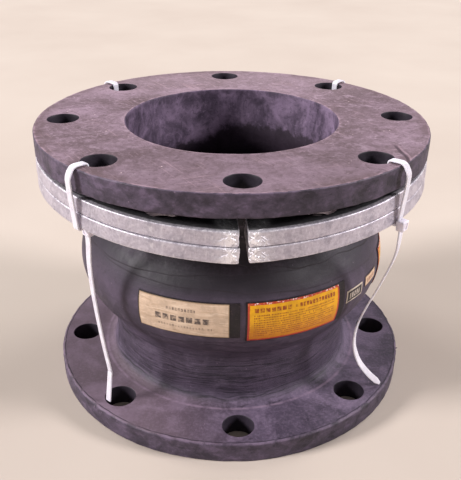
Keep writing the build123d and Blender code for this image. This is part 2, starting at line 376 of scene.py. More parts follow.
# ---------------------------------------------------------------- rubber
def rubber_cover():
    """The dark outer skin: slate rubber, wrapped lines, dust where it lies."""
    p = Paint("cover_rubber", Specular_IOR_Level=0.38)
    at = p.attribute("rest")
    x, y, z = p.split(at)
    az = p.math("ARCTAN2", y, x)
    reach = p.vector("DISTANCE", p.join(x, y))
    cloud = p.noise(at, 34.0, 5.0, 0.6)
    grain = p.noise(at, 1.5, 3.0, 0.6)
    blotch = p.noise(at, 9.0, 6.0, 0.66, 0.5)
    p.ramp(cloud, (0.34, srgb(56, 48, 61)), (0.52, srgb(68, 58, 74)), (0.7, srgb(82, 70, 88)))
    p.lay(blotch.span(0.5, 0.7, 0.0, 0.45), 98, 85, 104)
    p.lay(blotch.span(0.45, 0.3, 0.0, 0.55), 40, 33, 45)
    # painted shade where the flange and the rings overhang the arch
    overhang_shade = z.span(104.0, 136.0) * z.span(183.0, 172.0) * reach.span(125.0, 119.0)
    p.lay(overhang_shade * 0.82, 24, 21, 29)
    # painted shade on the front of the arch's shoulder, under the rings
    shoulder = z.span(110.0, 124.0) * abs(x).span(96.0, 40.0)
    shoulder *= z.span(176.0, 166.0) * y.span(0.0, -40.0)
    p.lay(shoulder * 0.88, 30, 25, 33)
    # wrapped strips: fine hoops round the neck, a little inclined, and faint long swirls on the arch
    drift = p.noise(p.join(az * 2.2, z * 0.05), 1.0, 2.0)
    lean = z - az * 2.2 + (drift - 0.5) * 9.0
    around = p.join(az * 3.2, lean * 0.85, reach * 0.05)
    strips = p.noise(around, 1.0, 7.0, 0.72, 0.15)
    neck = p.math("ADD", z.span(66.0, 44.0), z.span(150.0, 165.0), clamp=True) * reach.span(108.0, 98.0)
    arch = z.span(42.0, 60.0) * z.span(165.0, 150.0)
    line_share = neck * 0.95 + arch * 0.1
    p.lay(strips.span(0.48, 0.4) * line_share * 0.85, 27, 22, 31)
    p.lay(strips.span(0.54, 0.63) * line_share * 0.45, 104, 89, 110)
    # long overlaps of the wrap on the arch
    wander = (p.noise(p.join(az * 1.4), 1.0, 2.0) - 0.5) * 22.0
    step, line = 0.0, 0.0
    for level, slope, depth in OVERLAPS:
        off = z - ((az + 1.6) * slope + level + wander * depth)
        step += off.span(-0.5, 0.4) * depth
        line = p.math("MAXIMUM", line, abs(off).span(0.75, 0.12) * depth)
    on_wall = z.span(46.0, 54.0) * z.span(156.0, 148.0)
    step *= on_wall
    broken = p.noise(at, 17.0, 2.0).span(0.36, 0.56)
    p.lay(line * on_wall * 0.85 * broken, 24, 18, 25)
    # dust on what faces up, thick in patches, painted light on the left of the lower flange's top, and a pale
    # crest where the neck turns into the flange
    facing = p.facing_up()
    up = facing.span(0.55, 0.97)
    patch = p.noise(p.vector("MULTIPLY", at, (1.0, 1.0, 0.3)), 36.0, 7.0, 0.6, 0.5).span(0.47, 0.64)
    speckle = p.noise(at, 2.2, 5.0, 0.7).span(0.46, 0.62)
    dust = up * (patch * 0.4 + speckle * 0.22)
    p.lay(dust, 132, 114, 138)
    # painted light: the lower flange's top paler towards the left
    painted_left_light = up * z.span(26.0, 23.5) * x.span(20.0, -70.0)
    p.lay(painted_left_light * 0.4, 128, 106, 114)
    crest = abs(reach - 103.2).span(1.7, 0.2) * facing.span(0.3, 0.8) * z.span(26.0, 23.0)
    crest *= p.noise(at, 9.0, 4.0).span(0.36, 0.6, 0.25, 0.9)
    p.lay(crest * 0.6, 146, 124, 144)
    # rims: chalky scuffs, dark rubbed patches, painted shade towards the right, and a paler upper arris
    rim = reach.span(137.4, 138.8)
    scuff = p.noise(p.join(az * 11.0, z * 0.11), 1.0, 9.0, 0.7, 0.2)
    p.lay(rim * scuff.span(0.48, 0.66, 0.0, 0.55), 116, 99, 124)
    # dark rubbed patches, plus painted shade that darkens the rim towards the right
    rubbed = p.math("ADD", scuff.span(0.48, 0.4, 0.0, 0.5), x.span(0.0, 40.0) * 0.35, clamp=True)
    p.lay(rim * rubbed, 32, 26, 37)
    p.lay(rim * facing.span(0.12, 0.5) * scuff.span(0.4, 0.6, 0.05, 0.3), 132, 112, 132)
    parting = abs(reach - 137.6).span(0.7, 0.1) * facing.span(0.5, 0.9)
    p.lay(parting * scuff.span(0.4, 0.5, 0.2, 0.8), 36, 29, 40)
    # painted shade inside the bolt holes
    turned = (p.math("FRACT", az / (math.pi / 4) + 0.5) - 0.5) * (math.pi / 4)
    in_sector = p.join(reach * p.math("COSINE", turned), reach * p.math("SINE", turned))
    from_axis = p.vector("DISTANCE", in_sector, (BOLT_R, 0.0, 0.0))
    in_flange = p.math("MAXIMUM", z.span(FLANGE_T + 2.0, FLANGE_T + 1.0), z.span(182.0, 183.0))
    hole_shade = from_axis.span(HOLE_R + 0.45, HOLE_R + 0.2) * in_flange
    p.lay(hole_shade * 0.75, 22, 17, 24)
    specks = p.cells(at, 4.5).span(0.15, 0.05) * p.noise(at, 14.0, 2.0).span(0.54, 0.66)
    p.lay(specks * 0.4, 158, 135, 156)
    rough = blotch.span(0.3, 0.7, 0.5, 0.66) + dust * 0.25
    relief = grain * 0.14 + blotch * 0.5 + strips * line_share * 1.1 + step * 0.75 + scuff * rim * 0.6
    return p.finish(rough, p.bump(relief, 0.6, 0.85))


def rubber_face():
    """The flat sealing faces: buffed, dusty, brown-grey and mottled, with one torn groove."""
    p = Paint("tube_rubber_face", Specular_IOR_Level=0.3)
    at = p.attribute("rest")
    x, y, _ = p.split(at)
    reach = p.vector("DISTANCE", p.join(x, y))
    cloud = p.noise(at, 48.0, 5.0, 0.6, 0.7)
    mottle = p.noise(at, 7.0, 7.0, 0.7, 0.9)
    fine = p.noise(at, 2.4, 5.0, 0.7, 0.5)
    grain = p.noise(at, 1.1, 3.0, 0.6)
    drift = p.noise(p.vector("MULTIPLY", at, (0.75, 1.0, 1.0)), 15.0, 9.0, 0.76, 1.0)
    p.ramp(cloud, (0.36, srgb(98, 80, 86)), (0.5, srgb(118, 98, 108)), (0.64, srgb(139, 117, 131)))
    p.lay(mottle.span(0.52, 0.64, 0.0, 0.6), 150, 128, 142)
    p.lay(mottle.span(0.47, 0.36, 0.0, 0.6), 86, 69, 73)
    p.lay(drift.span(0.55, 0.63, 0.0, 0.5), 166, 144, 158)
    p.lay(fine.span(0.54, 0.64, 0.0, 0.4), 156, 134, 147)
    p.lay(fine.span(0.46, 0.36, 0.0, 0.45), 80, 65, 70)
    # painted shade towards the front of the face and a painted sheen towards the back
    p.lay(y.span(-25.0, -85.0, 0.0, 0.34) * abs(x).span(118.0, 78.0), 82, 66, 72)
    p.lay(y.span(30.0, 120.0, 0.0, 0.25), 176, 154, 164)
    # buffing scratches: fine, straight, in two directions, only in places and most at the back
    cross = p.noise(p.join(x + y * 0.55, y * 0.03), 1.6, 2.0)
    over = p.noise(p.join(x * 0.03, y - x * 0.3), 1.8, 2.0)
    behind = p.vector("DISTANCE", p.join(x, y), (-34.0, 104.0, 0.0)).span(42.0, 16.0)
    where = p.math("MAXIMUM", p.noise(at, 33.0, 2.0).span(0.46, 0.6, 0.0, 0.6), behind)
    scratch = p.math("MAXIMUM", cross.span(0.56, 0.68), over.span(0.58, 0.7)) * where
    p.lay(scratch * 0.5, 180, 151, 160)
    # edges: worn pale on the arris, darker and browner towards the rim in places
    p.lay(reach.span(126.0, 139.0) * p.noise(at, 26.0, 3.0).span(0.42, 0.58, 0.0, 0.5), 92, 73, 76)
    edge = p.math("MAXIMUM", reach.span(137.2, 138.8), reach.span(79.0, 77.0))
    p.lay(edge * p.noise(at, 6.0, 5.0).span(0.4, 0.62, 0.0, 0.6), 166, 139, 152)
    specks = p.cells(at, 7.0).span(0.11, 0.04) * p.noise(at, 12.0, 2.0).span(0.52, 0.62)
    p.lay(specks * 0.75, 218, 194, 196)
    pits = p.cells(p.vector("ADD", at, (31.0, 17.0, 5.0)), 8.0).span(0.11, 0.05)
    pits *= p.noise(at, 15.0, 2.0).span(0.52, 0.64)
    p.lay(pits * 0.6, 60, 47, 52)
    # the groove: a dark tear with a raised pale lip, from beside a hole out over the rim
    line = x - (y * -0.06 + 98.8)
    line += (p.noise(at, 12.0, 2.0) - 0.5) * 2.4
    along = y.span(-60.0, -68.0) * y.span(-104.0, -98.0) * x.span(60.0, 70.0)
    tear = abs(line).span(1.5, 0.5) * along
    lip = abs(line - 2.4).span(1.3, 0.4) * along
    p.lay(lip * 0.5, 160, 134, 146)
    p.lay(tear * 0.85, 66, 51, 60)
    rough = mottle.span(0.3, 0.7, 0.7, 0.9)
    relief = mottle * 0.9 + grain * 0.16 + fine * 0.4 - pits * 0.5 + drift * 0.5 + (lip - tear) * 1.2
    return p.finish(rough, p.bump(relief, 0.5, 0.8))


def rubber_bore():
    """The tube's inside: purple-grey bloom, with painted shade below a ragged line above the hollow of the
    arch.
    """
    p = Paint("tube_rubber_bore", Specular_IOR_Level=0.35)
    at = p.attribute("rest")
    x, y, z = p.split(at)
    az = p.math("ARCTAN2", y, x)
    cloud = p.noise(at, 20.0, 6.0, 0.64, 0.6)
    streak = p.noise(p.join(az * 9.0, z * 0.03), 1.0, 4.0, 0.6)
    fine = p.noise(at, 2.6, 5.0, 0.65, 0.4)
    p.ramp(cloud, (0.36, srgb(58, 47, 63)), (0.5, srgb(87, 72, 92)), (0.64, srgb(123, 104, 128)))
    p.lay(streak.span(0.48, 0.68, 0.0, 0.35), 143, 121, 150)
    p.lay(fine.span(0.46, 0.34, 0.0, 0.5), 52, 41, 55)
    p.lay(fine.span(0.56, 0.7, 0.0, 0.3), 150, 130, 152)
    # painted shade below a ragged line, which lies lower on the left of the far side
    shade_top = 171.0 + az.span(1.55, 1.85) * -13.0 + az.span(2.3, 2.8) * 9.0
    ragged = z + (p.noise(at, 8.0, 6.0, 0.7) - 0.5) * 22.0
    p.lay((ragged - shade_top).span(1.5, -3.5) * z.span(26.0, 60.0) * 0.88, 38, 27, 38)
    # one straight lap of the tube, a dark line with a small step
    p.lay(z.span(168.0, 150.0) * abs(az - 1.665).span(0.02, 0.004) * 0.4, 29, 21, 31)
    relief = cloud * 0.6 + fine * 0.35 + az.span(1.66, 1.672) * 0.25
    return p.finish(cloud.span(0.3, 0.7, 0.6, 0.8), p.bump(relief, 0.5, 0.75))


def uneven_wall(points):
    """Moves the wall's outer skin in a little, never out: hand-wrapped unevenness."""
    az, r = around(points)
    z = points[:, 2]
    outside = r > wall_radius("outer", z) - 3.0
    broad = waves(points, 60.0, 3)
    stretched = np.stack([np.cos(az) * 45, np.sin(az) * 45, z * 1.6], -1)
    hoops = waves(stretched, 14.0, 5)
    lower = smooth(z, 22.0, 30.0) * (1 - smooth(z, 170.0, 178.0))
    sink = np.clip(0.16 + 0.07 * broad + 0.055 * hoops, 0.0, 0.5) * lower
    out = points.copy()
    push_out(out, az, np.where(outside, -sink, 0.0))
    return out


def make_band(name, z0, z1, body_a, body_b, materials):
    """A length of the arched wall between two heights; the two body names are not used."""
    shell = Shell()
    az = rad(-22.5) + np.arange(AROUND) * 2 * math.pi / AROUND
    levels = np.linspace(z0, z1, int(round((z1 - z0) / 1.25)) + 1)
    for side in ("outer", "bore"):
        shell.polar(list(zip(wall_radius(side, levels), levels)), az)
    for z in (z0, z1):
        ro, ri = float(wall_radius("outer", z)), float(wall_radius("bore", z))
        shell.polar([(ri + (ro - ri) * s, z) for s in (0.0, 0.5, 1.0)], az)

    def pick(c):
        middle = (wall_radius("outer", c.z) + wall_radius("bore", c.z)) / 2
        return 0 if math.hypot(c.x, c.y) > middle else 1

    piece = shell.build(name, materials, uneven_wall, pick)
    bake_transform(piece)
    return piece


def flange_shape(top):
    """Wear of one flange: a rim that isn't quite round, soft edges and dents."""
    seed = 11 if top else 23
    face = HEIGHT if top else 0.0
    back = HEIGHT - FLANGE_T if top else FLANGE_T
    dents = DENTS_TOP if top else DENTS_LOW

    def shape(points):
        out = uneven_wall(points)
        az, r = around(points)
        at_rim = smooth(r, 134.0, 139.0)
        slow = waves(points, 70.0, seed)
        quick = waves(points, 7.0, seed + 1)
        near_back = 1 - smooth(np.abs(points[:, 2] - back), 0.5, 5.0)
        push_out(out, az, -at_rim * np.clip(0.14 + 0.1 * slow + (0.05 + 0.16 * near_back) * quick, 0.0, 0.9))
        to_middle = -1.0 if top else 1.0
        hollow = np.clip(0.1 + 0.05 * waves(points, 45.0, seed + 2) + 0.03 * quick, 0, 0.4)
        on_face = 1 - smooth(np.abs(points[:, 2] - face), 0.2, 2.0)
        under = 1 - smooth(np.abs(points[:, 2] - back), 0.2, 2.0)
        wide = smooth(r, 103.0, 108.0)
        out[:, 2] += to_middle * on_face * hollow
        out[:, 2] -= to_middle * under * wide * np.clip(0.12 + 0.1 * waves(points, 22.0, seed + 3), 0, 0.5)
        for x, y, z, size, depth, way in dents:
            d2 = ((points - (x, y, z)) ** 2).sum(1)
            push = depth * np.exp(-d2 / size ** 2)
            if way == "in":
                push_out(out, az, -push)
            else:
                out[:, 2] -= push
        return out

    return shape


def polar_mm(r, azimuth, z):
    return (r * math.cos(rad(azimuth)), r * math.sin(rad(azimuth)), z)


# each dent: its place, its size and depth, and the way it goes
DENTS_TOP = [
    polar_mm(139.7, -131.5, 196.0) + (1.9, 1.8, "in"),
    polar_mm(139.7, -112.0, 193.5) + (1.5, 0.9, "in"),
    polar_mm(139.7, -60.0, 190.0) + (4.0, 0.7, "in"),
    polar_mm(139.7, -104.0, 187.5) + (3.0, 0.9, "in"),
    polar_mm(139.7, -41.5, 199.0) + (2.6, 1.1, "down"),
]
DENTS_LOW = [
    polar_mm(139.7, -120.0, 8.0) + (2.5, 1.1, "in"),
    polar_mm(139.7, -75.0, 6.0) + (6.0, 0.5, "in"),
    polar_mm(139.7, -40.0, 11.0) + (3.0, 0.9, "in"),
]
# azimuth, size and drop of each torn tag of moulding flash on the lower rim
TAGS = [(-159.0, 1.9, 0.8), (-151.0, 1.1, -0.4), (-138.0, 1.9, -1.2), (-134.5, 1.2, -1.8),
        (-128.0, 1.4, -0.8), (-117.0, 0.8, -0.6), (-35.0, 1.7, -0.6), (-24.0, 1.3, 0.6), (-14.0, 2.0, 1.2),
        (20.0, 0.9, 0.3), (63.0, 0.9, 0.2), (130.0, 1.1, 0.1)]


def flash_bits(shell):
    """Small torn tags of moulding flash on the rim's upper edge, each a flat tapering tongue."""
    rng = np.random.default_rng(8)
    steps = 10
    for azimuth, size, drop in TAGS:
        u = np.linspace(0, 2 * math.pi, steps, endpoint=False)
        rows = []
        for t in np.linspace(0, 1, 7):
            radius = size * (1 - t) ** 0.7 * 0.7
            lump = radius * (1 + 0.3 * rng.uniform(-1, 1, steps))
            out = FLANGE_R - 1.4 + t * (1.3 + 0.7 * size)
            along = rad(azimuth) + (lump * np.cos(u) + 0.4 * size * t) / FLANGE_R
            z = FLANGE_T - 1.4 + drop * t + 0.3 * lump * np.sin(u)
            rows.append(ring_point(np.full(steps, out), along, z))
        shell.grid(np.array(rows), wrap=True)
        centre = rows[0].mean(0)
        shell.grid(np.array([np.repeat(centre[None], steps, 0), rows[0]]), wrap=True)


def make_end(name, top, body, materials, replaced):
    """One end of the joint: flange with eight holes, the turn into the neck, and the bore."""
    shell = Shell()
    az = rad(-22.5) + np.arange(AROUND) * 2 * math.pi / AROUND
    inner, outer = 104.0, 135.8
    soft_face, soft_back = 0.9, 1.7

    def place(profile):
        return [(r, HEIGHT - s if top else s) for r, s in profile]

    bore = [(BORE_R, s) for s in np.linspace(SEAM_Z, 1.0, 18)]
    mouth = arc(BORE_R + 1.0, 1.0, 1.0, 180, 270, 5)
    flat = [(r, 0.0) for r in np.linspace(BORE_R + 1.0, inner, 10)]
    shell.polar(place(bore + mouth[1:] + flat[1:]), az)
    rim = [(outer, 0.0), (137.4, 0.0)] + arc(FLANGE_R - soft_face, soft_face, soft_face, -90, 0, 5)
    rim += [(FLANGE_R, s) for s in np.linspace(soft_face, FLANGE_T - soft_back, 10)[1:-1]]
    rim += arc(FLANGE_R - soft_back, FLANGE_T - soft_back, soft_back, 0, 90, 6)
    rim += [(137.0, FLANGE_T), (outer, FLANGE_T)]
    shell.polar(place(rim), az)
    turn = arc(NECK_R + NECK_FILLET, FLANGE_T + NECK_FILLET, NECK_FILLET, 270, 180, 12)
    neck = [(inner, FLANGE_T)] + turn + [(NECK_R, s) for s in (26.0, 27.0, SEAM_Z)]
    shell.polar(place(neck), az)
    shell.polar(place([(NECK_R, SEAM_Z), (85.0, SEAM_Z), (BORE_R, SEAM_Z)]), az)
    low, high = (HEIGHT - FLANGE_T, HEIGHT) if top else (0.0, FLANGE_T)
    for k in range(8):
        hole_patches(shell, 45.0 * k, inner, outer, low, high, 0.6)
    if not top:
        flash_bits(shell)
    face_z = HEIGHT if top else 0.0

    def pick(c):
        r = math.hypot(c.x, c.y)
        turn = rad(45.0 * round(math.degrees(math.atan2(c.y, c.x)) / 45.0))
        from_hole = math.hypot(c.x - BOLT_R * math.cos(turn), c.y - BOLT_R * math.sin(turn))
        if abs(c.z - face_z) < 1.4 and 76.9 < r < 138.9 and from_hole > HOLE_R + 0.25:
            return 1
        return 2 if r < 84.0 else 0

    piece = shell.build(name, materials, flange_shape(top), pick, sharp=50.0)
    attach(piece, body)
    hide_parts(*replaced)
    return piece


cover = rubber_cover()
face = rubber_face()
bore = rubber_bore()
make_end("lower_end_rubber", False, "lower_end", [cover, face, bore],
         ["lower_tube", "lower_inner_plies", "lower_outer_plies", "lower_cover"])
make_end("upper_end_rubber", True, "upper_end", [cover, face, bore],
         ["upper_tube", "upper_inner_plies", "upper_outer_plies", "upper_cover"])
for band in BANDS:
    piece = make_band(*band, [cover, bore])
    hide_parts("arch_tube", "arch_inner_plies", "arch_outer_plies", "arch_cover")


# ---------------------------------------------------------------- retaining rings
RING_IN = 101.6
RING_OUT = 139.7
RING_TOP = 183.8
# width of the plain land between a bar's edge and its holed face
LAND = 1.6
# slope of the hanging halves in degrees, half the gap between them, and the roundness of their ends
SAG = 3.15
GAP = 2.0
ROUND = 1.3


def galvanised():
    """Hot-dipped zinc: pale mottled grey, brighter runs, and beads at the cut ends with a painted highlight.
    """
    p = Paint("galvanised_steel", Specular_IOR_Level=0.6)
    at = p.attribute("rest")
    x, y, z = p.split(at)
    spangle = p.cells(p.vector("MULTIPLY", at, (1.0, 1.0, 1.6)), 4.5, output="Color")
    tone = p.split(spangle)[0]
    cloud = p.noise(at, 14.0, 6.0, 0.64, 0.6)
    fine = p.noise(at, 1.6, 6.0, 0.7)
    az = p.math("ARCTAN2", y, x)
    reach = p.vector("DISTANCE", p.join(x, y))
    runs = p.noise(p.join(az * 60.0, z * 0.14), 1.0, 4.0, 0.6)
    p.ramp(cloud, (0.34, srgb(152, 146, 158)), (0.5, srgb(178, 171, 183)), (0.66, srgb(202, 195, 206)))
    p.lay(tone.span(0.2, 0.9, 0.0, 0.2), 220, 214, 223)
    p.lay(fine.span(0.5, 0.66, 0.0, 0.35), 226, 221, 229)
    p.lay(fine.span(0.46, 0.34, 0.0, 0.4), 126, 119, 132)
    p.lay(runs.span(0.55, 0.7, 0.0, 0.4), 232, 227, 232)
    # brighter, lumpy metal where the halves meet, with a painted highlight
    ends = abs(x).span(20.0, 5.0)
    pool = p.noise(at, 5.5, 4.0, 0.6, 0.8).span(0.44, 0.58)
    end_beads_and_highlight = ends * (pool * 0.55 + 0.45)
    p.lay(end_beads_and_highlight, 246, 242, 247)
    p.lay(p.noise(at, 26.0, 5.0, 0.6).span(0.56, 0.7, 0.0, 0.3), 150, 136, 138)
    # pale crust along the arrises of each bar
    crust = p.math("MAXIMUM", z.span(-1.1, -0.3), z.span(-8.9, -9.6))
    crust *= p.noise(at, 2.2, 4.0, 0.7).span(0.44, 0.56)
    p.lay(crust * 0.55, 247, 243, 247)
    # painted shade on the top ring's upper face, under the flange
    p.lay(z.span(-0.5, -0.1) * reach.span(137.2, 135.4) * 0.9, 34, 36, 36)
    rough = fine.span(0.3, 0.7, 0.42, 0.58) - end_beads_and_highlight * 0.2
    relief = p.noise(at, 4.0, 4.0, 0.6) * 0.8 + fine * 0.25 + pool * ends * 1.9 + runs * 0.35
    metal = cloud.span(0.3, 0.7, 0.45, 0.65)
    return p.finish(rough, p.bump(relief, 0.45, 0.85), metal)


def make_half_ring(name, side, z_top, thick, shift, seed, material, body):
    """Half of a split ring, built flat about its own centre and then tilted into place."""
    shell = Shell()
    edge = 0.9

    def bend(xy):
        """Squares the two ends to the split line."""
        az, r = around(xy * (side, 1))
        limit = np.arccos((GAP + ROUND) / r)
        start = rad(76.0)
        over = np.clip((np.abs(az) - start) / (math.pi / 2 - start), 0, 1)
        new = np.where(np.abs(az) > start, np.sign(az) * (start + over * (limit - start)), az)
        return np.stack([side * r * np.cos(new), r * np.sin(new)], -1)

    azimuths = np.radians(np.linspace(-90, 90, SECTOR * 4 + 1))

    def profile(r, way):
        """The bar's outer (way 1) or inner (way -1) side, from its top land to its bottom land."""
        turn = 90 - 90 * way
        upright = [(r, -z) for z in np.linspace(edge, thick - edge, 8)[1:-1]]
        return ([(r - way * LAND, 0.0)] + arc(r - way * edge, -edge, edge, 90, turn) + upright
                + arc(r - way * edge, edge - thick, edge, turn, 2 * turn - 90) + [(r - way * LAND, -thick)])

    hub, outside = profile(RING_IN, -1), profile(RING_OUT, 1)
    way = np.stack([side * np.cos(azimuths), np.sin(azimuths)], -1)
    for line in (hub, outside):
        shell.grid(np.array([at_height(bend(r * way), z) for r, z in line]))
    base = 0.0 if side > 0 else 180.0
    for k in (-67.5, -22.5, 22.5, 67.5):
        hole_patches(shell, base + k, RING_IN + LAND, RING_OUT - LAND, -thick, 0.0, 0.7, bend)
    # rounded ends: the section's outline, drawn in over a few rings
    radial = np.linspace(RING_IN + LAND, RING_OUT - LAND, 11)[1:-1]
    loop = np.array([(r, 0.0) for r in radial] + outside + [(r, -thick) for r in radial[::-1]] + hub[::-1])
    middle = np.array([(RING_IN + RING_OUT) / 2, -thick / 2])
    half = np.array([(RING_OUT - RING_IN) / 2, thick / 2])
    # each ring of the end: how far it is drawn in, and its distance from the split line
    turns = np.radians((0, 30, 60, 90))
    rings = [(1 - ROUND * (1 - math.cos(a)) / half, GAP + ROUND * (1 - math.sin(a))) for a in turns]
    rings += [(rings[-1][0] * share, GAP) for share in (0.66, 0.33, 0.0)]
    for end in (-1, 1):
        rows = []
        for size, x_end in rings:
            pts = middle + (loop - middle) * size
            y = end * np.sqrt(np.maximum(pts[:, 0] ** 2 - (GAP + ROUND) ** 2, 0))
            rows.append(np.stack([np.full(len(pts), side * x_end), y, pts[:, 1]], -1))
        shell.grid(np.array(rows), wrap=True)
    tilt = rad(SAG)
    ring_centre = -side * RING_OUT + shift[0]

    def shape(points):
        n = waves(points, 9.0, seed) * 0.5 + waves(points, 26.0, seed + 1) * 0.5
        az, r = around(points)
        at_end = 1 - smooth(np.abs(points[:, 0]), 3.0, 12.0)
        out = points.copy()
        top = points[:, 2] > -thick / 2
        inward = np.where(top, -1.0, 1.0)
        flat = np.minimum(np.abs(points[:, 2]), np.abs(points[:, 2] + thick)) < 0.25
        out[:, 2] += inward * flat * np.clip(0.07 + 0.05 * n + at_end * (0.05 + 0.1 * n), 0, 0.45)
        wall = smooth(r, RING_OUT - 1.2, RING_OUT - 0.2)
        push_out(out, az, -wall * np.clip(0.1 + 0.07 * n + at_end * (0.25 + 0.25 * n), 0, 0.9))
        tip = 1 - smooth(np.abs(points[:, 0]), GAP, GAP + ROUND)
        out[:, 0] += side * tip * np.clip(0.15 + 0.25 * waves(points, 5.0, seed + 2), 0.0, 0.6)
        u = out[:, 0] + ring_centre
        v = out[:, 1] + shift[1]
        w = out[:, 2]
        x = side * RING_OUT + u * math.cos(tilt) - side * math.sin(tilt) * w
        z = z_top + side * math.sin(tilt) * u + math.cos(tilt) * w
        return np.stack([x, v, z], -1)

    piece = shell.build(name, [material], shape, sharp=60.0)
    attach(piece, body)
    return piece


def offset_down(side, depth):
    """The frame's z_dir times -depth, split into its x shift and z shift."""
    t = rad(SAG)
    return side * math.sin(t) * depth, -math.cos(t) * depth


zinc = galvanised()
# thickness of the upper layer
LAYER = 9.8
for side, word in ((-1, "left"), (1, "right")):
    body = f"{word}_rings"
    upper = make_half_ring(f"{word}_upper_ring", side, RING_TOP, LAYER, (0.0, 0.0), 31 + side, zinc, body)
    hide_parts(f"{word}_upper_ring_half")
    shift = (0.8, -1.2) if side < 0 else (-0.4, -0.3)
    lower = make_half_ring(f"{word}_lower_ring", side, RING_TOP, 10.0, shift, 47 + side, zinc, body)
    dx, dz = offset_down(side, LAYER + 0.2)
    lower.data.transform(Matrix.Translation((dx * MM, 0, dz * MM)))
    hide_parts(f"{word}_lower_ring_half")


# ---------------------------------------------------------------- cable ties
TOOTH_PITCH = 1.25
# width and thickness of the loops' strap and of the cut tails
LOOP_STRAP = (4.8, 1.2)
TAIL_STRAP = (4.7, 1.15)


def nylon():
    """Natural white nylon: a little translucent, ribbed across on the toothed face."""
    p = Paint("white_nylon", Subsurface_Weight=0.5, Subsurface_Scale=0.004, Specular_IOR_Level=0.5)
    p.shader.inputs["Subsurface Radius"].default_value = (1.0, 0.9, 0.85)
    at = p.attribute("rest")
    across, along, toothed = p.split(p.attribute("strap"))
    cloud = p.noise(at, 8.0, 4.0)
    p.ramp(cloud, (0.35, srgb(216, 210, 222)), (0.65, srgb(234, 229, 240)))
    p.lay(p.noise(at, 3.0, 5.0, 0.6).span(0.6, 0.78, 0.0, 0.3), 196, 190, 190)
    teeth = p.math("SINE", along * (2 * math.pi / TOOTH_PITCH))
    relief = teeth * toothed * 0.5 + p.noise(at, 1.0, 3.0) * 0.12 + abs(across).span(1.7, 2.2, 0.0, 0.4)
    return p.finish(cloud.span(0.3, 0.7, 0.3, 0.42), p.bump(relief, 0.25, 0.8))


# the channel in a strap's toothed face: share of the half width, and depth
CHANNEL = [(-0.62, 0.0), (-0.55, 0.22), (0.0, 0.22), (0.55, 0.22), (0.62, 0.0)]


def strap_section(width, thick):
    """Outline of a strap: across and out, with rounded corners and a shallow channel on one face."""
    half, t, c = width / 2, thick / 2, 0.32
    corner = [(math.cos(rad(a)), math.sin(rad(a))) for a in (0, 30, 60, 90)]
    pts = [(half - c + c * x, t - c + c * y) for x, y in corner]
    pts += [(half * 0.55, t), (0.0, t), (-half * 0.55, t)]
    pts += [(-half + c - c * y, t - c + c * x) for x, y in corner]
    pts += [(-half + c - c * x, -t + c - c * y) for x, y in corner]
    pts += [(half * share, -t + sink) for share, sink in CHANNEL]
    pts += [(half - c + c * y, -t + c - c * x) for x, y in corner]
    return np.array(pts)


def sweep(shell, path, face_way, width, thick, closed=False, taper=None):
    """Carries the strap's outline along a path. face_way points out of its smooth face."""
    path = np.asarray(path, float)
    ahead = unit(np.roll(path, -1, 0) - np.roll(path, 1, 0) if closed else np.gradient(path, axis=0))
    out = unit(face_way - (face_way * ahead).sum(1)[:, None] * ahead)
    across = np.cross(ahead, out)
    length = np.concatenate([[0], np.cumsum(np.linalg.norm(np.diff(path, axis=0), axis=1))])
    outline = strap_section(width, thick)
    rows, extra = [], []
    for i in range(len(path)):
        k = 1.0 if taper is None else taper(length[i], length[-1])
        rows.append(path[i] + across[i] * outline[:, :1] * k + out[i] * outline[:, 1:])
        toothed = (outline[:, 1] < 0).astype(float)
        extra.append(np.stack([outline[:, 0] * k, np.full(len(outline), length[i]), toothed], -1))
    rows, extra = np.array(rows), np.array(extra)
    if closed:
        rows = np.concatenate([rows, rows[:1]])
        extra = np.concatenate([extra, extra[:1]])
    shell.grid(rows, wrap=True, extra=extra)
    if not closed:
        for end in (0, -1):
            middle = np.repeat(rows[end].mean(0)[None], rows.shape[1], 0)
            half_way = rows[end] * 0.5 + middle * 0.5
            shell.grid(np.array([rows[end], half_way, middle]), wrap=True)


def rounded_loop(corners, step=0.7):
    """Closed path with an arc of the given radius at each corner; corners are (r, z, radius)."""
    n = len(corners)
    pieces = []
    for i in range(n):
        a, b, c = (np.array(corners[(i + k - 1) % n][:2], float) for k in range(3))
        radius = corners[i][2]
        u, v = (a - b) / np.linalg.norm(a - b), (c - b) / np.linalg.norm(c - b)
        half = math.acos(max(-1.0, min(1.0, float(u @ v)))) / 2
        cut = radius / math.tan(half)
        centre = b + (u + v) / np.linalg.norm(u + v) * radius / math.sin(half)
        p0, p1 = b + u * cut, b + v * cut
        a0 = math.atan2(*(p0 - centre)[::-1])
        a1 = math.atan2(*(p1 - centre)[::-1])
        turn = (a1 - a0 + math.pi) % (2 * math.pi) - math.pi
        steps = max(4, int(abs(turn) * radius / step))
        pieces.append(np.array([centre + radius * np.array([math.cos(a0 + turn * t), math.sin(a0 + turn * t)])
                                for t in np.linspace(0, 1, steps + 1)]))
    out = []
    for i in range(n):
        out.append(pieces[i])
        start, end = pieces[i][-1], pieces[(i + 1) % n][0]
        gap = np.linalg.norm(end - start)
        count = int(gap / 3.0)
        if count > 0:
            out.append(np.array([start + (end - start) * t for t in np.linspace(0, 1, count + 2)[1:-1]]))
    return np.concatenate(out)


# a tie's middle line: radius, height and roundness of each corner
LOOP = [(130.3, 201.0, 1.6), (140.4, 201.5, 5.2), (144.3, 195.5, 7.5), (144.0, 186.0, 40.0),
        (141.9, 160.5, 1.6), (97.6, 158.8, 1.6), (97.6, 183.3, 5.0), (130.3, 183.3, 1.8)]


